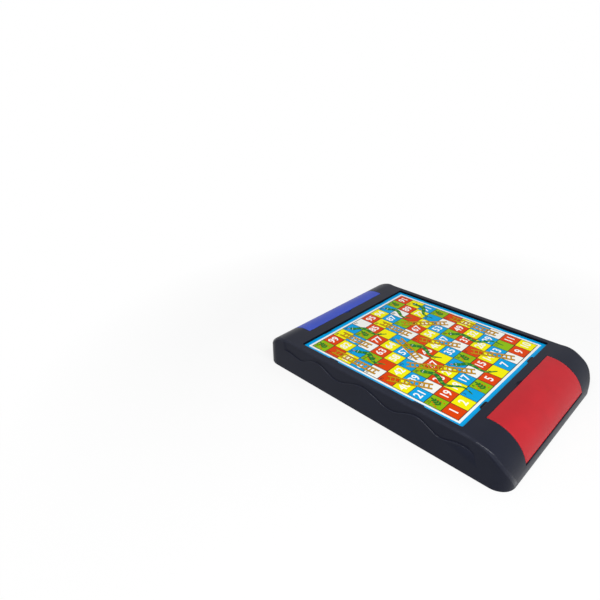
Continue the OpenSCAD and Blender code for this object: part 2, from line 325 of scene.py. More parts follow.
class Surface(Sheet):
    """A material with one shader, whose patterns lie in the object's own space."""

    def __init__(self, name):
        self.material = bpy.data.materials.new(name)
        self.material.use_nodes = True
        super().__init__(self.material.node_tree)
        self.shader = self.tree.nodes["Principled BSDF"]
        self.place = self.node("ShaderNodeTexCoord", output="Object")

    def set(self, **inputs):
        """Sets the shader's sockets, whose names are written with underscores."""
        for name, value in inputs.items():
            self.feed(self.shader.inputs[name.replace("_", " ")], value)
        return self.material

    def axes(self):
        """The three coordinates in the object's space."""
        return [self.node("ShaderNodeSeparateXYZ", None, {0: self.place}, axis) for axis in range(3)]

    def noise(self, size, detail=2, place=None):
        """Soft noise with patches of that size."""
        inputs = {"Vector": place or self.place, "Scale": 1 / size, "Detail": detail}
        return self.node("ShaderNodeTexNoise", None, inputs)

    def stretched(self, scale):
        """The object's space, drawn out along its axes."""
        return self.node("ShaderNodeMapping", None, {"Vector": self.place, "Scale": scale})

    def attribute(self, name):
        """A value that the mesh holds at its points."""
        return self.node("ShaderNodeAttribute", {"attribute_name": name}, None, "Fac")

    def bump(self, height, depth, strength=1):
        inputs = {"Height": height, "Distance": depth, "Strength": strength}
        return self.node("ShaderNodeBump", None, inputs)


def shade(colour, factor):
    """A colour made darker or lighter."""
    return tuple(min(1, part * factor) for part in colour)


def moulded_plastic(name, colour, roughness, specular):
    """Satin plastic with the grain of its mould, soft patches, faint scuffs and glossy worn edges whose
    colour is lightened, partly as wear and partly as a painted sheen.
    """
    surface = Surface(name)
    patches = surface.noise(24 * MM, 3)
    grain = surface.noise(0.42 * MM, 2)
    scuffs = surface.noise(3 * MM, 2, surface.stretched((1, 9, 4)))
    edge = surface.attribute("rubbed")
    rubbed = edge * surface.noise(4 * MM, 2)
    moulded = surface.mix(patches, shade(colour, 0.82), shade(colour, 1.18))
    worn = (scuffs > 0.66) * 0.05 + rubbed * 0.42
    return surface.set(
        # The worn edges are lighter in colour: partly wear, partly a painted sheen that stands in for
        # the highlight along the edges
        Base_Color=surface.mix(rubbed * 0.6, moulded, shade(colour, 1.7)),
        Roughness=roughness + (patches - 0.5) * 0.14 + (grain - 0.5) * 0.1 - worn,
        Specular_IOR_Level=specular,
        Coat_Weight=edge * 0.1 + rubbed * 0.3,
        Coat_Roughness=0.12,
        Normal=surface.bump(grain, 0.02 * MM, 0.6),
    )


def gloss_plastic(name, colour):
    """Shiny injection-moulded plastic with faint flow marks and fine scratches."""
    surface = Surface(name)
    flow = surface.noise(6 * MM, 3, surface.stretched((1, 1, 3)))
    scratches = surface.noise(0.9 * MM, 2, surface.stretched((1, 14, 3)))
    return surface.set(
        Base_Color=surface.mix(flow, shade(colour, 0.86), shade(colour, 1.12)),
        Roughness=0.2 + (scratches > 0.62) * 0.12 + (flow - 0.5) * 0.08,
        Normal=surface.bump(scratches, 0.01 * MM, 0.5),
    )


def plated_steel(name, colour):
    """Zinc-plated steel, mottled and turned."""
    surface = Surface(name)
    mottle = surface.noise(0.8 * MM, 3)
    turned = surface.noise(0.12 * MM, 1)
    return surface.set(
        Base_Color=surface.mix(mottle, shade(colour, 0.75), shade(colour, 1.05)),
        Roughness=0.28 + mottle * 0.2,
        Metallic=1,
        Normal=surface.bump(turned, 0.01 * MM, 0.6),
    )


def pip_paint(name, colour):
    """Matt paint, laid unevenly in the pips."""
    surface = Surface(name)
    uneven = surface.noise(0.5 * MM, 2)
    return surface.set(
        Base_Color=surface.mix(uneven, shade(colour, 0.7), shade(colour, 1.6)),
        Roughness=0.45 + uneven * 0.2,
    )


def ink(name, colour):
    """Printing ink on laminated card: fine speckle and the fibre of the card under it."""
    surface = Surface(name)
    speckle = surface.noise(0.5 * MM, 2)
    fibre = surface.noise(0.25 * MM, 3)
    return surface.set(
        Base_Color=surface.mix(speckle, shade(colour, 0.93), shade(colour, 1.05)),
        Roughness=0.36 + fibre * 0.12,
        Specular_IOR_Level=0.06,
        Normal=surface.bump(fibre, 0.006 * MM, 0.5),
    )


def snake_ink(name, inks):
    """Green skin with light bands, small scales and a dark back."""
    surface = Surface(name)
    along = surface.attribute("along")
    across = surface.attribute("across")
    band = abs(along / (7 * MM) % 1 - 0.5) < 0.16
    skin = surface.node("ShaderNodeCombineXYZ", None, {0: along, 1: across})
    cells = {"Vector": skin, "Scale": 1 / (1.1 * MM)}
    scales = surface.node("ShaderNodeTexVoronoi", None, cells, "Distance")
    green = surface.mix(abs(across) / (2.4 * MM), inks.green, shade(inks.green, 0.72))
    banded = surface.mix(band * (abs(across) < 1.7 * MM), green, inks.green_light)
    return surface.set(
        Base_Color=surface.mix(scales * 0.6, banded, inks.green_dark),
        Roughness=0.36 + scales * 0.1,
        Specular_IOR_Level=0.06,
    )


def printed_card(name, inks):
    """Ten by ten coloured squares with dark lines, a white band and a blue border, on white card."""
    print_depth = 0.1 * MM
    face_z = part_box("game_card")[1].z - print_depth
    grid_x = SQUARES * inks.square_l / 2
    grid_y = SQUARES * inks.square_w / 2
    surface = Surface(name)
    x, y, z = surface.axes()
    speckle = surface.noise(0.5 * MM, 2)
    fibre = surface.noise(0.25 * MM, 3)

    row = (grid_x - x) / inks.square_l
    column = (y + grid_y) / inks.square_w
    shift = (math.floor(row) * ROW_SHIFT + math.floor(column)) % len(SQUARE_ORDER)
    stops = [(i / len(SQUARE_ORDER), getattr(inks, ink_name)) for i, ink_name in enumerate(SQUARE_ORDER)]
    squares = surface.node(
        "ShaderNodeValToRGB", {"stops": stops}, {0: (shift + 0.5) / len(SQUARE_ORDER)}, "Color"
    )
    from_row_line = abs((row + 0.5) % 1 - 0.5) * inks.square_l
    from_column_line = abs((column + 0.5) % 1 - 0.5) * inks.square_w
    on_line = surface.smaller(from_row_line, from_column_line) < inks.line / 2
    lined = surface.mix(on_line, squares, inks.dark)

    outside = surface.larger(abs(x) - grid_x, abs(y) - grid_y)
    banded = surface.mix(outside > inks.line / 2, lined, inks.white)
    bordered = surface.mix(outside > inks.band, banded, inks.border)
    printed = surface.mix(z > face_z, inks.white, bordered)
    speckled = surface.mix(speckle * 0.1, printed, shade(inks.dark, 0.5))
    return surface.set(
        Base_Color=speckled,
        Roughness=0.34 + fibre * 0.14,
        Specular_IOR_Level=0.06,
        Normal=surface.bump(fibre, 0.006 * MM, 0.5),
    )


def seen_ray(sheet):
    """1 for a ray of the camera, a reflection or a transmission."""
    kinds = ("Is Camera Ray", "Is Glossy Ray", "Is Transmission Ray")
    rays = [sheet.node("ShaderNodeLightPath", None, None, kind) for kind in kinds]
    return sheet.larger(sheet.larger(rays[0], rays[1]), rays[2])


def white_floor(name, glow):
    """Matt white floor that turns plain white further away, and keeps the shadow by the case."""
    surface = Surface(name)
    distance = surface.node("ShaderNodeVectorMath", {"operation": "LENGTH"}, {0: surface.place}, "Value")
    beside_case = 300 * MM
    plain = surface.smaller(surface.larger(distance - beside_case, 0) + glow, 1)
    scuffs = surface.noise(90 * MM, 3)
    surface.set(
        Base_Color=surface.mix(scuffs, srgb(242, 242, 242), srgb(246, 246, 246)),
        Roughness=0.9,
        Specular_IOR_Level=0,
    )
    matt = Value(surface, surface.shader.outputs[0])
    lit = surface.node("ShaderNodeEmission", None, {"Color": (1, 1, 1), "Strength": 1})
    both = surface.node("ShaderNodeMixShader", None, {0: seen_ray(surface) * plain, 1: matt, 2: lit})
    surface.feed(surface.tree.nodes["Material Output"].inputs["Surface"], both)
    return surface.material


def add_piece(name, bm, materials, body=None, replaces=()):
    """Makes an object of a mesh and fixes it to its body."""
    mesh = bpy.data.meshes.new(name)
    bm.to_mesh(mesh)
    bm.free()
    for material in materials:
        mesh.materials.append(material)
    piece = bpy.data.objects.new(name, mesh)
    bpy.context.scene.collection.objects.link(piece)
    if body:
        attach(piece, body)
    if replaces:
        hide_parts(*replaces)
    return piece


def add_print(name, bm, material):
    """Makes a piece of ink on the card."""
    add_piece(name, bm, [material], "case")


def shade_smooth(piece):
    """Smooth shading that keeps flat faces flat."""
    piece.data.shade_smooth()
    piece.data.set_sharp_from_angle(angle=HARD)
    weighted = piece.modifiers.new("Flat faces", "WEIGHTED_NORMAL")
    weighted.keep_sharp = True


def finish_node(node, material):
    """Gives a CAD node that is kept its material."""
    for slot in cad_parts[node].material_slots:
        slot.material = material


def copied(node):
    """Closed copy of a CAD node's mesh, with each flat face made whole."""
    bm = bmesh.new()
    bm.from_mesh(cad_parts[node].data)
    bm.verts.layers.float.new("rubbed")
    bmesh.ops.remove_doubles(bm, verts=bm.verts, dist=MERGE)
    bmesh.ops.dissolve_limit(bm, angle_limit=FLAT, verts=bm.verts, edges=bm.edges)
    return bm


def middle(edge):
    return (edge.verts[0].co + edge.verts[1].co) / 2


def sharp_edges(bm, wanted, angle=SHARP):
    """Edges sharper than the angle whose middle is wanted."""
    return [
        edge for edge in bm.edges
        if edge.is_manifold and edge.calc_face_angle() > angle and wanted(middle(edge))
    ]


def round_edges(bm, edges, radius, segments):
    """Rounds edges and marks the points inside their rounds, where the plastic is worn by use and its
    colour is lightened as a painted sheen.
    """
    made = bmesh.ops.bevel(
        bm, geom=edges, offset=radius, offset_type="OFFSET", affect="EDGES", segments=segments,
        profile=0.5, material=-1, clamp_overlap=False, loop_slide=True,
    )
    rubbed = bm.verts.layers.float["rubbed"]
    faces = set(made["faces"])
    for vert in made["verts"]:
        if faces.issuperset(vert.link_faces):
            vert[rubbed] = 1


def add_rounded(node, name, plastic, body, radius, wanted=lambda at: True):
    """Makes a piece of a CAD node's copy, with its sharp edges rounded where that is wanted."""
    bm = copied(node)
    round_edges(bm, sharp_edges(bm, wanted), radius, segments=2)
    shade_smooth(add_piece(name, bm, [plastic], body, [node]))


def raise_plate(bm, faces, height):
    """Raises flat faces to a closed plate."""
    made = bmesh.ops.extrude_face_region(bm, geom=faces)["geom"]
    upper = [part for part in made if isinstance(part, bmesh.types.BMVert)]
    bmesh.ops.translate(bm, verts=upper, vec=(0, 0, height))


def outward(edge):
    """Direction in which an outer edge of flat faces looks."""
    loop = edge.link_loops[0]
    run = (loop.link_loop_next.vert.co - loop.vert.co).normalized()
    return Vector((run.y, -run.x, 0))


def widen(bm, amount):
    """Moves the outline of flat faces outwards."""
    longest_corner = 0.4
    moves = []
    for vert in bm.verts:
        sides = [outward(edge) for edge in vert.link_edges if edge.is_boundary]
        if len(sides) == 2:
            corner = max(1 + sides[0].dot(sides[1]), longest_corner)
            moves.append((vert, (sides[0] + sides[1]) * amount / corner))
    for vert, move in moves:
        vert.co += move


class Skin:
    """The outer surface of the shell: its top, its walls and its two rolled ends."""

    def __init__(self, finish):
        self.low, self.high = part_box("top_shell")
        self.corner_r = finish.corner_r
        self.relief = finish.relief
        self.rolls = ((1, finish.red_roll_r), (-1, finish.blue_roll_r))

    def from_walls(self, at):
        """Distance to the outline that the shell has from above."""
        return abs(self.behind_wall(at)[0])

    def on_top(self, at):
        """True on the flat top and on the rolls."""
        if self.high.z - at.z < NEAR:
            return True
        for side, radius in self.rolls:
            past_x = at.x * side - self.high.x + radius
            past_z = at.z - self.high.z + radius
            if past_x > 0 and past_z > 0 and abs(math.hypot(past_x, past_z) - radius) < NEAR:
                return True
        return False

    def on_crease(self, at):
        """True on the edge of the top along the long walls and round the corners."""
        beside_long_wall = abs(at.y) > self.high.y - self.corner_r
        return beside_long_wall and self.from_walls(at) < self.relief + NEAR and self.on_top(at)

    def on_corner(self, at):
        """True past the straight stretch of the long walls."""
        return abs(at.x) - self.high.x + self.corner_r > NEAR

    def on_long_wall(self, at):
        """True on the straight stretch of the long walls, above their lower edge."""
        return not self.on_corner(at) and self.high.y - abs(at.y) < NEAR < at.z - self.low.z

    def has_small_edge(self, at):
        """True on the outside, apart from the shallow ends of the relief."""
        return (self.on_top(at) or self.from_walls(at) < NEAR) and not self.on_long_wall(at)

    def under_top(self, at):
        """Depth of a point below the top or a roll, and the direction that the surface faces there."""
        for side, radius in self.rolls:
            past_x = at.x * side - self.high.x + radius
            past_z = at.z - self.high.z + radius
            if past_x > 0:
                out = Vector((past_x * side, 0, max(past_z, 0)))
                return radius - out.length, out.normalized()
        return self.high.z - at.z, Vector((0, 0, 1))

    def behind_wall(self, at):
        """Depth of a point behind the outline, and the direction that the wall faces there."""
        out = Vector((0, 0, 0))
        for axis in range(2):
            reach = self.high[axis] - self.corner_r
            out[axis] = at[axis] - min(max(at[axis], -reach), reach)
        return self.corner_r - out.length, out.normalized()

    def on_skin(self, face):
        """True for a face of the outside, also in the round of the crease."""
        skin_depth = 1 * MM
        at = face.calc_center_median()
        return min(self.under_top(at)[0], self.behind_wall(at)[0]) < skin_depth

    def pull_in(self, vert):
        """Moves a point that lies outside the outline onto it."""
        depth, out = self.behind_wall(vert.co)
        if depth < 0:
            vert.co += out * depth

    def widen_crease(self, vert, radius):
        """Moves a point onto a ball of that radius that rolls along the top and the wall.

        Returns the direction that the ball faces there, or None for a point off the ball.
        """
        parallel = 0.999
        top_depth, up = self.under_top(vert.co)
        wall_depth, out = self.behind_wall(vert.co)
        lean = up.dot(out)
        from_top = (radius - top_depth) - lean * (radius - wall_depth)
        from_wall = (radius - wall_depth) - lean * (radius - top_depth)
        if from_top > 0 and from_wall > 0 and lean < parallel:
            arm = (up * from_top + out * from_wall) / (1 - lean ** 2)
            if arm.length > radius - NEAR:
                vert.co += arm.normalized() * (radius - arm.length)
                return arm.normalized()
        return None


class Track:
    """Places on the printed card."""

    def __init__(self, inks):
        self.inks = inks
        self.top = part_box("game_card")[1].z
        self.corner = Vector((SQUARES * inks.square_l / 2, -SQUARES * inks.square_w / 2))

    def cell(self, number):
        """Row and column of a square."""
        row, step = divmod(number - 1, SQUARES)
        return row, step if row % 2 == 0 else SQUARES - 1 - step

    def middle(self, number):
        row, column = self.cell(number)
        along = -(row + 0.5) * self.inks.square_l
        across = (column + 0.5) * self.inks.square_w
        return self.corner + Vector((along, across))

    def colour(self, number):
        row, column = self.cell(number)
        return SQUARE_ORDER[(row * ROW_SHIFT + column) % len(SQUARE_ORDER)]

    def lay(self, at, along, length, width, layers):
        """Place and size of a figure that lies on the card, in the space of a unit square."""
        depth = layers * self.inks.layer
        turn = Matrix.Rotation(math.atan2(along.y, along.x), 4, "Z")
        size = Matrix.Diagonal((length, width, depth, 1))
        return Matrix.Translation((*at, self.top + depth / 2)) @ turn @ size

    def add_bar(self, bm, at, along, length, width, layers):
        bmesh.ops.create_cube(bm, size=1, matrix=self.lay(at, along, length, width, layers))

    def add_spot(self, bm, at, along, length, width, layers):
        bmesh.ops.create_cone(
            bm, cap_ends=True, segments=20, radius1=0.5, radius2=0.5, depth=1,
            matrix=self.lay(at, along, length, width, layers),
        )


def busy_squares():
    """Squares that hold the end of a ladder or a snake."""
    return {square for pair in LADDERS + SNAKES for square in pair}


class GAMESCASE_OT_stage(bpy.types.Operator):
    """Set up the floor, the lamps and the camera"""

    bl_idname = "gamescase.stage"
    bl_label = "Stage"

    def execute(self, context):
        settings = context.scene.games_stage
        self.add_floor(settings)
        self.add_sky(context, settings)
        self.add_sun(context, settings)
        self.add_lamp(context, "strip_lamp", STRIP_AT, STRIP_SIZE, settings.strip_power)
        self.add_lamp(context, "side_lamp", SIDE_AT, SIDE_SIZE, settings.side_power)
        self.add_camera(context, settings)
        return {"FINISHED"}

    def add_floor(self, settings):
        bm = bmesh.new()
        bmesh.ops.create_grid(bm, x_segments=1, y_segments=1, size=FLOOR_REACH)
        bmesh.ops.translate(bm, verts=bm.verts, vec=(0, 0, -FLOOR_DROP))
        add_piece("floor", bm, [white_floor("white floor", settings.floor_glow)])

    def add_sky(self, context, settings):
        world = bpy.data.worlds.new("studio")
        world.use_nodes = True
        context.scene.world = world
        sheet = Sheet(world.node_tree)
        seen = seen_ray(sheet)
        background = world.node_tree.nodes["Background"]
        background.inputs["Color"].default_value = (1, 1, 1, 1)
        sheet.feed(background.inputs["Strength"], settings.sky + seen * (1 - settings.sky))

    def add_sun(self, context, settings):
        """A wide soft light from above the red end, alike all over the floor."""
        light = bpy.data.lights.new("sun", "SUN")
        light.energy = settings.sun_strength
        light.angle = SUN_SPREAD
        lamp = bpy.data.objects.new("sun", light)
        lamp.rotation_euler = Vector(SUN_AIM).to_track_quat("-Z", "Y").to_euler()
        context.scene.collection.objects.link(lamp)

    def add_lamp(self, context, name, at, size, energy):
        """A panel of light that faces the case."""
        light = bpy.data.lights.new(name, "AREA")
        light.shape = "RECTANGLE"
        light.size, light.size_y = size
        light.energy = energy
        lamp = bpy.data.objects.new(name, light)
        lamp.location = at
        lamp.rotation_euler = (-Vector(at)).to_track_quat("-Z", "Y").to_euler()
        context.scene.collection.objects.link(lamp)

    def add_camera(self, context, settings):
        data = bpy.data.cameras.new("camera")
        data.lens = settings.lens
        data.clip_start = 10 * MM
        camera = bpy.data.objects.new("camera", data)
        camera.location = settings.camera_at
        camera.rotation_euler = Euler(settings.camera_turn)
        context.scene.collection.objects.link(camera)
        context.scene.camera = camera


class GAMESCASE_OT_mouldings(bpy.types.Operator):
    """Round the edges of the shell and the base plate and give them their grained plastic"""

    bl_idname = "gamescase.mouldings"
    bl_label = "Shell and base"

    def execute(self, context):
        finish = context.scene.games_case
        plastic = moulded_plastic("black plastic", finish.shell, roughness=0.36, specular=0.09)
        self.add_shell(finish, plastic)
        self.add_base(finish, plastic)
        return {"FINISHED"}

    def add_shell(self, finish, plastic):
        """The shell is smoother on the walls of the tray and under the tabs, and darker there as painted
        shade in the recess.
        """
        skin = Skin(finish)
        # Painted shade: the walls of the tray and under the tabs take the shell's colour darkened to
        # less than half
        dark = shade(finish.shell, 0.45)
        smooth = moulded_plastic("smooth black plastic", dark, roughness=0.3, specular=0.06)
        bm = copied("top_shell")
        self.thin_crease(bm, skin, finish.crease_r)
        round_edges(bm, sharp_edges(bm, skin.on_crease, CREASED), finish.crease_r, segments=6)
        self.soften_corners(bm, skin, finish)
        round_edges(bm, self.relief_edges(bm, skin, finish.relief_r), finish.relief_r, segments=4)
        round_edges(bm, sharp_edges(bm, skin.has_small_edge), finish.edge_r, segments=2)
        for vert in bm.verts:
            skin.pull_in(vert)
        self.mark_tray(bm)
        piece = add_piece("case_shell", bm, [plastic, smooth], "case", ["top_shell"])
        shade_smooth(piece)
        self.shade_corners(piece)

    def shade_corners(self, piece):
        """Gives the points in the round of the corners the exact directions that they face."""
        normals = [Vector(point.vector) for point in piece.data.attributes["facing"].data]
        rounded = piece.vertex_groups.new(name="rounded")
        rounded.add([i for i, normal in enumerate(normals) if normal.length], 1, "REPLACE")
        piece.data.normals_split_custom_set_from_vertices(normals)
        weighted = piece.modifiers["Flat faces"]
        weighted.vertex_group = rounded.name
        weighted.invert_vertex_group = True

    def thin_crease(self, bm, skin, radius):
        """Joins points that crowd the crease on the corners, where its round would fold."""
        crease = set(sharp_edges(bm, skin.on_crease, CREASED))
        crowded = 0.7 * radius
        joins = {}
        for vert in bm.verts:
            edges = [edge for edge in vert.link_edges if edge in crease]
            edges.sort(key=lambda edge: edge.calc_length())
            if edges and skin.on_corner(vert.co) and edges[-1].calc_length() < crowded:
                joins[vert] = edges[0].other_vert(vert)
        bmesh.ops.weld_verts(bm, targetmap=joins)

    def soften_corners(self, bm, skin, finish):
        """Lets the crease grow wider round the corners: cuts them finely, then moves their points."""
        facing = bm.verts.layers.float_vector.new("facing")
        # The first cuts bound the fine ones, so they take in faces from a little before the start
        before = NOSE_START * 0.9
        for axis in (1, 0, 2):
            self.cut(bm, skin, axis, NOSE_START[axis], before)
        for axis in range(3):
            for i in range(1, int((skin.high[axis] - NOSE_START[axis]) / CUT_STEP)):
                self.cut(bm, skin, axis, NOSE_START[axis] + i * CUT_STEP, NOSE_START)
        for vert in bm.verts:
            past = (abs(vert.co.x) - NOSE_START.x) / NOSE_GROWTH
            if past > 0 and abs(vert.co.y) > NOSE_START.y:
                past = min(past, 1)
                grown = past * past * (3 - 2 * past)
                radius = finish.crease_r + (finish.nose_r - finish.crease_r) * grown
                out = skin.widen_crease(vert, radius)
                if out:
                    vert[facing] = out

    def cut(self, bm, skin, axis, place, start):
        """Cuts the outer faces past the start at one place along an axis, on both sides."""
        normal = Vector((0, 0, 0))
        normal[axis] = 1
        for side in ((1,) if axis == 2 else (-1, 1)):
            faces = [face for face in bm.faces if self.past(face, start) and skin.on_skin(face)]
            parts = dict.fromkeys(faces)
            for face in faces:
                parts.update(dict.fromkeys((*face.edges, *face.verts)))
            bmesh.ops.bisect_plane(
                bm, geom=list(parts), dist=CUT_HOLD, plane_co=normal * place * side, plane_no=normal
            )

    def past(self, face, start):
        """True for a face that reaches past the start along each axis."""
        return all(max(abs(vert.co[i]) for vert in face.verts) > start[i] for i in range(3))

    def relief_edges(self, bm, skin, radius):
        """Edges of the relief where its step is deeper than the radius."""
        return [
            edge for edge in sharp_edges(bm, skin.on_long_wall)
            if min(face.calc_area() for face in edge.link_faces) > radius * edge.calc_length()
        ]

    def mark_tray(self, bm):
        """Gives the walls of the tray and the sides of the tabs the second material, whose darker colour
        is painted shade.
        """
        low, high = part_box("game_card")
        rim_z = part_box("top_shell")[1].z
        around = 1 * MM
        for face in bm.faces:
            at = face.calc_center_median()
            beside = abs(at.x) < high.x + around and abs(at.y) < high.y + around
            face.material_index = int(beside and low.z < at.z < rim_z - NEAR)

    def add_base(self, finish, plastic):
        """The base plate is rounded round its underside only."""
        under_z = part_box("base_plate")[0].z
        add_rounded(
            "base_plate", "case_base", plastic, "case", finish.edge_r,
            lambda at: at.z - under_z < NEAR,
        )


class GAMESCASE_OT_lids(bpy.types.Operator):
    """Round the edges of the two lids and give them their coloured plastic"""

    bl_idname = "gamescase.lids"
    bl_label = "Lids"

    def execute(self, context):
        finish = context.scene.games_case
        for colour, value in (("red", finish.red_lid), ("blue", finish.blue_lid)):
            node = colour + "_lid"
            plastic = moulded_plastic(colour + " plastic", value, roughness=0.42, specular=0.14)
            add_rounded(node, colour + "_cover", plastic, node, finish.edge_r)
        return {"FINISHED"}


class GAMESCASE_OT_card(bpy.types.Operator):
    """Print the squares, the lines and the border on the card"""

    bl_idname = "gamescase.card"
    bl_label = "Card"

    def execute(self, context):
        finish_node("game_card", printed_card("printed card", context.scene.games_print))
        return {"FINISHED"}


class GAMESCASE_OT_numbers(bpy.types.Operator):
    """Print the numbers of the squares"""

    bl_idname = "gamescase.numbers"
    bl_label = "Numbers"

    def execute(self, context):
        inks = context.scene.games_print
        track = Track(inks)
        busy = busy_squares()
        corner = Vector((-0.32 * inks.square_l, -0.28 * inks.square_w))
        large, small = bmesh.new(), bmesh.new()
        for number in range(1, SQUARES * SQUARES + 1):
            at = track.middle(number)
            if number in busy or track.colour(number) in ("white", "lime"):
                self.add_number(small, track, number, inks.small_h, inks.small_swell, at + corner)
            else:
                self.add_number(large, track, number, inks.number_h, inks.number_swell, at)
        add_print("numbers", large, ink("white ink", inks.white))
        add_print("small_numbers", small, ink("black ink", inks.dark))
        return {"FINISHED"}

    def add_number(self, bm, track, number, height, swell, at):
        """A number that reads from the red end, drawn wider by the swell."""
        cap_height = 0.73
        same_point = 0.006
        curve = bpy.data.curves.new("number", "FONT")
        curve.body = str(number)
        curve.size = height / cap_height
        curve.align_x = "CENTER"
        curve.align_y = "CENTER"
        curve.resolution_u = 6
        text = bpy.data.objects.new("number", curve)
        mesh = bpy.data.meshes.new_from_object(text)
        figure = bmesh.new()
        figure.from_mesh(mesh)
        bmesh.ops.remove_doubles(figure, verts=figure.verts, dist=same_point * height)
        widen(figure, swell)
        raise_plate(figure, figure.faces[:], Layer.NUMBER * track.inks.layer)
        place = Matrix.Translation((*at, track.top)) @ Matrix.Rotation(math.radians(90), 4, "Z")
        bmesh.ops.transform(figure, matrix=place, verts=figure.verts)
        figure.to_mesh(mesh)
        figure.free()
        bm.from_mesh(mesh)
        bpy.data.objects.remove(text)
        bpy.data.curves.remove(curve)
        bpy.data.meshes.remove(mesh)


class GAMESCASE_OT_ladders(bpy.types.Operator):
    """Print the ladders"""

    bl_idname = "gamescase.ladders"
    bl_label = "Ladders"

    def execute(self, context):
        inks = context.scene.games_print
        track = Track(inks)
        fill, outline = bmesh.new(), bmesh.new()
        for foot, top in LADDERS:
            start, end = track.middle(foot), track.middle(top)
            self.add_ladder(fill, track, start, end, Layer.RAIL, Layer.RUNG, 0)
            self.add_ladder(outline, track, start, end, Layer.RAIL_LINE, Layer.RUNG_LINE, inks.outline)
        add_print("ladders", fill, ink("gold ink", inks.gold))
        add_print("ladder_lines", outline, ink("brown ink", inks.gold_dark))
        return {"FINISHED"}

    def add_ladder(self, bm, track, start, end, rail, rung, extra):
        """Two rails and the rungs between them, drawn wider by the extra."""
        inks = track.inks
        run = end - start
        along = run.normalized()
        across = Vector((-along.y, along.x))
        length = run.length + inks.rung_pitch
        centre = (start + end) / 2
        for side in (-0.5, 0.5):
            at = centre + across * inks.ladder_w * side
            track.add_bar(bm, at, along, length + extra, inks.rail_w + extra, rail)
        rungs = int(run.length / inks.rung_pitch)
        for i in range(rungs + 1):
            at = centre + along * inks.rung_pitch * (i - rungs / 2)
            track.add_bar(bm, at, across, inks.ladder_w, inks.rung_w + extra, rung)


class GAMESCASE_OT_snakes(bpy.types.Operator):
    """Print the snakes"""

    bl_idname = "gamescase.snakes"
    bl_label = "Snakes"

    def execute(self, context):
        inks = context.scene.games_print
        track = Track(inks)
        skin, outline, eyes, tongues = (bmesh.new() for i in range(4))
        for bm in (skin, outline):
            bm.verts.layers.float.new("along")
            bm.verts.layers.float.new("across")
        for head, tail in SNAKES:
            start, end = track.middle(head), track.middle(tail)
            self.add_body(skin, track, start, end, Layer.BODY, 0)
            self.add_body(outline, track, start, end, Layer.BODY_LINE, inks.outline)
            self.add_head(track, start, end, skin, outline, eyes, tongues)
        add_print("snakes", skin, snake_ink("snake ink", inks))
        add_print("snake_lines", outline, ink("dark green ink", inks.green_dark))
        add_print("snake_eyes", eyes, ink("eye ink", inks.white))
        add_print("snake_tongues", tongues, ink("tongue ink", inks.red))
        return {"FINISHED"}

    def place(self, inks, start, end, share):
        """A point on a line that sways from side to side and comes to rest at both ends."""
        run = end - start
        across = Vector((-run.y, run.x)).normalized()
        bends = max(2, round(run.length / inks.snake_bend))
        lean = math.sin(math.pi * bends * share) * math.sqrt(math.sin(math.pi * min(max(share, 0), 1)))
        return start + run * share + across * inks.snake_sway * lean

    def add_body(self, bm, track, start, end, layers, extra):
        """A tapering ribbon that keeps the distances along and across it at its points."""
        along = bm.verts.layers.float["along"]
        across = bm.verts.layers.float["across"]
        inks = track.inks
        length = (end - start).length
        step = 0.002
        neck = 0.72
        thinning_from = 0.3
        thinning = 0.86
        made = bmesh.ops.create_grid(bm, x_segments=int(length / MM), y_segments=4, size=0.5)
        for vert in made["verts"]:
            share = vert.co.x + 0.5
            side = vert.co.y * 2
            ahead = self.place(inks, start, end, share + step)
            ahead -= self.place(inks, start, end, share - step)
            normal = Vector((-ahead.y, ahead.x)).normalized()
            thinned = thinning * max(share - thinning_from, 0) / (1 - thinning_from)
            taper = min(neck + 1.2 * share, 1) * (1 - thinned)
            reach = side * (inks.snake_w * taper + extra) / 2
            at = self.place(inks, start, end, share) + normal * reach
            vert[along] = share * length
            vert[across] = reach
            vert.co = (*at, track.top)
        faces = dict.fromkeys(face for vert in made["verts"] for face in vert.link_faces)
        raise_plate(bm, list(faces), layers * inks.layer)

    def add_head(self, track, start, end, skin, outline, eyes, tongues):
        """A round head with two eyes and a forked tongue, sized by the width of the snake."""
        inks = track.inks
        line = inks.outline
        ahead = (start - self.place(inks, start, end, 0.03)).normalized()
        across = Vector((-ahead.y, ahead.x))
        width = inks.snake_w
        length, breadth = 1.5 * width, 1.2 * width
        track.add_spot(skin, start, ahead, length, breadth, Layer.HEAD)
        track.add_spot(outline, start, ahead, length + line, breadth + line, Layer.HEAD_LINE)
        for side in (-1, 1):
            eye = start + ahead * 0.2 * width + across * 0.3 * width * side
            pupil = eye + ahead * 0.06 * width
            track.add_spot(outline, eye, ahead, 0.42 * width, 0.42 * width, Layer.EYE_LINE)
            track.add_spot(eyes, eye, ahead, 0.3 * width, 0.3 * width, Layer.EYE)
            track.add_spot(outline, pupil, ahead, 0.15 * width, 0.15 * width, Layer.PUPIL)
            fork = start + ahead * 1.15 * width + across * 0.12 * width * side
            apart = ahead + across * 0.5 * side
            track.add_bar(tongues, fork, apart, 0.45 * width, 0.1 * width, Layer.TONGUE)
        tongue = start + ahead * 0.8 * width
        track.add_bar(tongues, tongue, ahead, 0.5 * width, 0.12 * width, Layer.TONGUE)


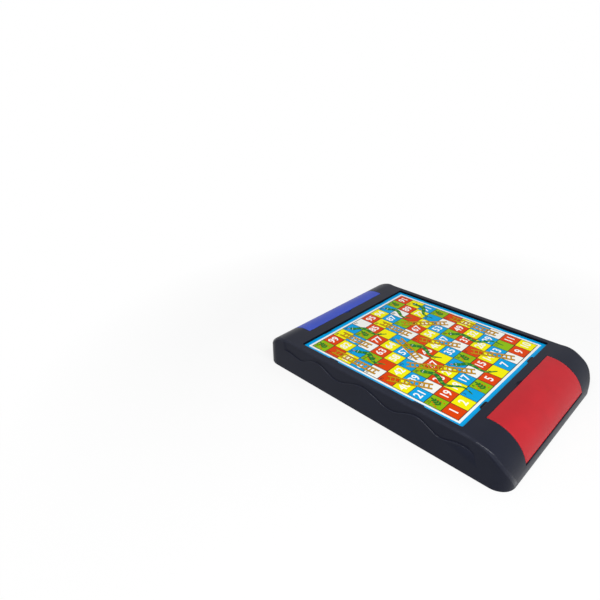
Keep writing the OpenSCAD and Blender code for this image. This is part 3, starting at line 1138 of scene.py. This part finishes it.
class GAMESCASE_OT_sprigs(bpy.types.Operator):
    """Print a sprig of leaves and berries in the free lime squares"""

    bl_idname = "gamescase.sprigs"
    bl_label = "Sprigs"

    def execute(self, context):
        inks = context.scene.games_print
        track = Track(inks)
        busy = busy_squares()
        leaves, berries = bmesh.new(), bmesh.new()
        for number in range(1, SQUARES * SQUARES + 1):
            if track.colour(number) == "lime" and number not in busy:
                self.add_sprig(leaves, berries, track, track.middle(number))
        add_print("sprig_leaves", leaves, ink("leaf ink", inks.leaf))
        add_print("sprig_berries", berries, ink("berry ink", inks.red))
        return {"FINISHED"}

    def add_sprig(self, leaves, berries, track, at):
        """A stem with leaves in pairs, and berries beside the leaves, sized by the width of a square."""
        size = track.inks.square_w
        leaf_w = 0.13 * size
        up = Vector((-1, 0.35)).normalized()
        across = Vector((-up.y, up.x))
        track.add_bar(leaves, at, up, 0.66 * size, 0.03 * size, Layer.STEM)
        track.add_spot(leaves, at + up * 0.38 * size, up, 0.26 * size, leaf_w, Layer.LEAVES)
        layers = Layer.LEAVES + 1
        for i in range(3):
            node = at + up * size * (0.19 * i - 0.25)
            for side in (-1, 1):
                lean = (up + across * side).normalized()
                reach = 0.3 - 0.04 * i
                leaf = node + lean * 0.55 * reach * size
                track.add_spot(leaves, leaf, lean, reach * size, leaf_w, layers)
                berry = node + across * (0.3 - 0.05 * i) * size * side
                track.add_spot(berries, berry, up, 0.1 * size, 0.1 * size, layers)
                layers += 1


class GAMESCASE_OT_counters(bpy.types.Operator):
    """Give the counters their shiny plastic"""

    bl_idname = "gamescase.counters"
    bl_label = "Counters"

    def execute(self, context):
        finish = context.scene.games_case
        for colour in COUNTER_COLOURS:
            plastic = gloss_plastic(colour + " counter", getattr(finish, colour))
            for i in range(1, COUNTERS_PER_COLOUR + 1):
                add_rounded(
                    f"token_{colour}_{i}", f"counter_{colour}_{i}", plastic, "case",
                    finish.counter_edge_r,
                )
        return {"FINISHED"}


class GAMESCASE_OT_dice(bpy.types.Operator):
    """Give the dice their ivory plastic and painted pips"""

    bl_idname = "gamescase.dice"
    bl_label = "Dice"

    def execute(self, context):
        finish = context.scene.games_case
        ivory = gloss_plastic("ivory plastic", finish.ivory)
        paint = pip_paint("pip paint", finish.pips)
        for node in DICE:
            low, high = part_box(node)
            centre = (low + high) / 2
            half = (high.x - low.x) / 2
            bm = copied(node)
            ball = max((vert.co - centre).length for vert in bm.verts)
            for face in bm.faces:
                at = face.calc_center_median() - centre
                sunk = max(map(abs, at)) < half - DIE_SIDE
                face.material_index = int(sunk and at.length < ball - DIE_PIP)
            piece = add_piece("ivory_" + node, bm, [ivory, paint], "case", [node])
            self.shade_die(piece.data, centre, half)
        return {"FINISHED"}

    def shade_die(self, mesh, centre, half):
        """Shades the sides flat, the rounded corners as parts of one ball and the pips smooth."""
        mesh.shade_smooth()
        mesh.set_sharp_from_angle(angle=SHARP)
        normals = [corner.vector.copy() for corner in mesh.corner_normals]
        for face in mesh.polygons:
            if face.material_index:
                continue
            flat = max(map(abs, face.center - centre)) > half - DIE_SIDE
            for i in face.loop_indices:
                corner = mesh.vertices[mesh.loops[i].vertex_index].co - centre
                normals[i] = face.normal.copy() if flat else corner.normalized()
        mesh.normals_split_custom_set(normals)


class GAMESCASE_OT_screws(bpy.types.Operator):
    """Give the screws their plated steel"""

    bl_idname = "gamescase.screws"
    bl_label = "Screws"

    def execute(self, context):
        finish_node("case_screws", plated_steel("plated steel", context.scene.games_case.steel))
        return {"FINISHED"}


# The settings by their names in the scene
SETTINGS = {"games_case": CaseFinish, "games_print": CardPrint, "games_stage": StageSettings}
# The operators in the order that they run
STEPS = (
    GAMESCASE_OT_stage,
    GAMESCASE_OT_mouldings,
    GAMESCASE_OT_lids,
    GAMESCASE_OT_card,
    GAMESCASE_OT_numbers,
    GAMESCASE_OT_ladders,
    GAMESCASE_OT_snakes,
    GAMESCASE_OT_sprigs,
    GAMESCASE_OT_counters,
    GAMESCASE_OT_dice,
    GAMESCASE_OT_screws,
)


class GAMESCASE_PT_sidebar(bpy.types.Panel):
    """Steps and settings of the games case."""

    bl_idname = "GAMESCASE_PT_sidebar"
    bl_label = "Games Case"
    bl_space_type = "VIEW_3D"
    bl_region_type = "UI"
    bl_category = "Games Case"

    def draw(self, context):
        for step in STEPS:
            self.layout.operator(step.bl_idname)
        for settings, group in SETTINGS.items():
            box = self.layout.box()
            for name in group.__annotations__:
                box.prop(getattr(context.scene, settings), name)


CLASSES = (*SETTINGS.values(), *STEPS, GAMESCASE_PT_sidebar)


def register():
    for cls in CLASSES:
        bpy.utils.register_class(cls)
    for name, group in SETTINGS.items():
        setattr(bpy.types.Scene, name, PointerProperty(type=group))


def unregister():
    for name in SETTINGS:
        delattr(bpy.types.Scene, name)
    for cls in reversed(CLASSES):
        bpy.utils.unregister_class(cls)


def main():
    register()
    bpy.context.scene.view_settings.view_transform = "Standard"
    for step in STEPS:
        name = step.bl_idname.split(".")[1]
        getattr(bpy.ops.gamescase, name)()


if __name__ == "__main__":
    main()
